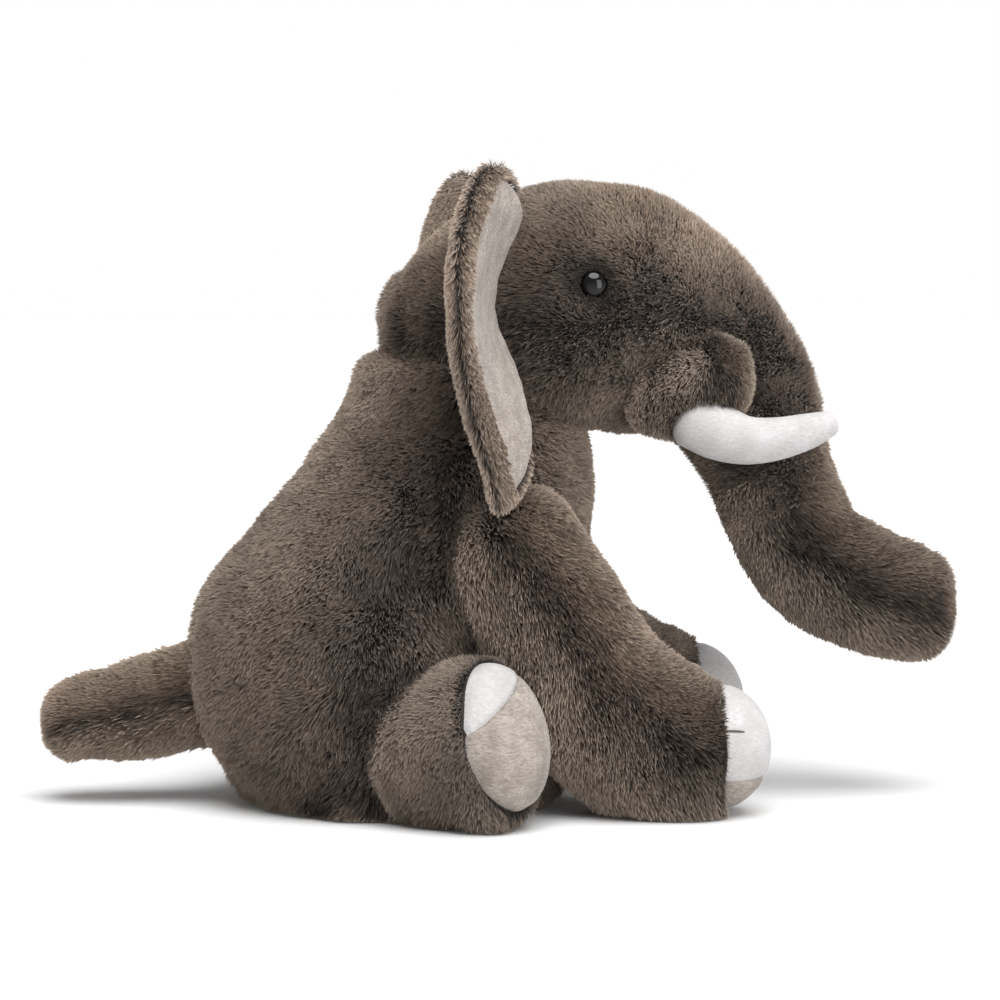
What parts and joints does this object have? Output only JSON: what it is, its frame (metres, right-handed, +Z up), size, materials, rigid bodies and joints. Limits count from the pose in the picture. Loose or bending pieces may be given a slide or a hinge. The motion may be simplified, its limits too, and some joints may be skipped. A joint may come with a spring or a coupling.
{
  "type": "stuffed elephant",
  "caption": "Seated stuffed elephant toy with a long curled trunk, tusks, cupped lined ears, padded feet and a shaggy tail; its head, trunk, ears, legs and tail flex on their seams.",
  "frame": {"origin": "middle of the bounding box, on the floor the toy sits on", "axes": "+X the way the elephant faces, +Y its left side, +Z up"},
  "size_m": [0.3815, 0.2382, 0.266],
  "materials": {
    "grey_plush": "long-pile plush, taupe grey with paler tips",
    "grey_minky": "short-nap minky, light warm grey",
    "white_velboa": "very short nap velboa, near white",
    "fibre_fill": "polyester fibre filling",
    "pellet_bag": "non-woven bag of plastic pellets",
    "eye_plastic": "polished black",
    "washer_plastic": "moulded natural plastic"
  },
  "bodies": {
    "torso": {"torso_skin": "grey_plush", "torso_stuffing": "fibre_fill", "seat_pellet_bag": "pellet_bag"},
    "head": {"head_skin": "grey_plush", "head_stuffing": "fibre_fill", "cheek_skin_right": "grey_plush", "cheek_stuffing_right": "fibre_fill", "tusk_skin_right": "white_velboa", "tusk_stuffing_right": "fibre_fill", "eye_right": "eye_plastic", "eye_washer_right": "washer_plastic", "cheek_skin_left": "grey_plush", "cheek_stuffing_left": "fibre_fill", "tusk_skin_left": "white_velboa", "tusk_stuffing_left": "fibre_fill", "eye_left": "eye_plastic", "eye_washer_left": "washer_plastic"},
    "trunk": {"trunk_skin": "grey_plush", "trunk_stuffing": "fibre_fill"},
    "trunk_tip": {"trunk_tip_skin": "grey_plush", "trunk_tip_stuffing": "fibre_fill"},
    "tail": {"tail_skin": "grey_plush", "tail_stuffing": "fibre_fill"},
    "ear_right": {"ear_back_right": "grey_plush", "ear_lining_right": "grey_minky"},
    "arm_right": {"arm_skin_right": "grey_plush", "arm_stuffing_right": "fibre_fill", "arm_toe_panel_right": "white_velboa", "arm_sole_pad_right": "grey_minky"},
    "leg_right": {"leg_skin_right": "grey_plush", "leg_stuffing_right": "fibre_fill", "leg_toe_panel_right": "white_velboa", "leg_sole_pad_right": "grey_minky"},
    "ear_left": {"ear_back_left": "grey_plush", "ear_lining_left": "grey_minky"},
    "arm_left": {"arm_skin_left": "grey_plush", "arm_stuffing_left": "fibre_fill", "arm_toe_panel_left": "white_velboa", "arm_sole_pad_left": "grey_minky"},
    "leg_left": {"leg_skin_left": "grey_plush", "leg_stuffing_left": "fibre_fill", "leg_toe_panel_left": "white_velboa", "leg_sole_pad_left": "grey_minky"}
  },
  "joints": [
    {"name": "neck_nod", "type": "hinge", "parent": "torso", "child": "head", "pos_m": [-0.0106, 0, 0.175], "axis": [0, 1, 0], "range_deg": [-10, 10], "stiffness_Nm_per_rad": 5},
    {"name": "trunk_lift", "type": "hinge", "parent": "head", "child": "trunk", "pos_m": [0.1004, 0, 0.178], "axis": [0, -1, 0], "range_deg": [-8, 20], "stiffness_Nm_per_rad": 1.2},
    {"name": "trunk_tip_curl", "type": "hinge", "parent": "trunk", "child": "trunk_tip", "pos_m": [0.1334, 0, 0.1025], "axis": [0, -1, 0], "range_deg": [-15, 25], "stiffness_Nm_per_rad": 0.4},
    {"name": "tail_wag", "type": "hinge", "parent": "torso", "child": "tail", "pos_m": [-0.1136, 0, 0.046], "axis": [0, 0, 1], "range_deg": [-20, 20], "stiffness_Nm_per_rad": 0.3},
    {"name": "ear_flap_right", "type": "hinge", "parent": "head", "child": "ear_right", "pos_m": [-0.0026, -0.055, 0.205], "axis": [0, 0, 1], "range_deg": [-20, 25], "stiffness_Nm_per_rad": 0.2},
    {"name": "arm_swing_right", "type": "hinge", "parent": "torso", "child": "arm_right", "pos_m": [-0.0016, -0.046, 0.106], "axis": [0, -1, 0], "range_deg": [-1, 30], "stiffness_Nm_per_rad": 1.2},
    {"name": "leg_lift_right", "type": "hinge", "parent": "torso", "child": "leg_right", "pos_m": [-0.0326, -0.066, 0.033], "axis": [-0.5, -0.866, 0], "range_deg": [-4, 18], "stiffness_Nm_per_rad": 0.8},
    {"name": "ear_flap_left", "type": "hinge", "parent": "head", "child": "ear_left", "pos_m": [-0.0026, 0.055, 0.205], "axis": [0, 0, -1], "range_deg": [-20, 25], "stiffness_Nm_per_rad": 0.2},
    {"name": "arm_swing_left", "type": "hinge", "parent": "torso", "child": "arm_left", "pos_m": [-0.0016, 0.046, 0.106], "axis": [0, -1, 0], "range_deg": [-1, 30], "stiffness_Nm_per_rad": 1.2},
    {"name": "leg_lift_left", "type": "hinge", "parent": "torso", "child": "leg_left", "pos_m": [-0.0326, 0.066, 0.033], "axis": [0.5, -0.866, 0], "range_deg": [-4, 18], "stiffness_Nm_per_rad": 0.8}
  ]
}
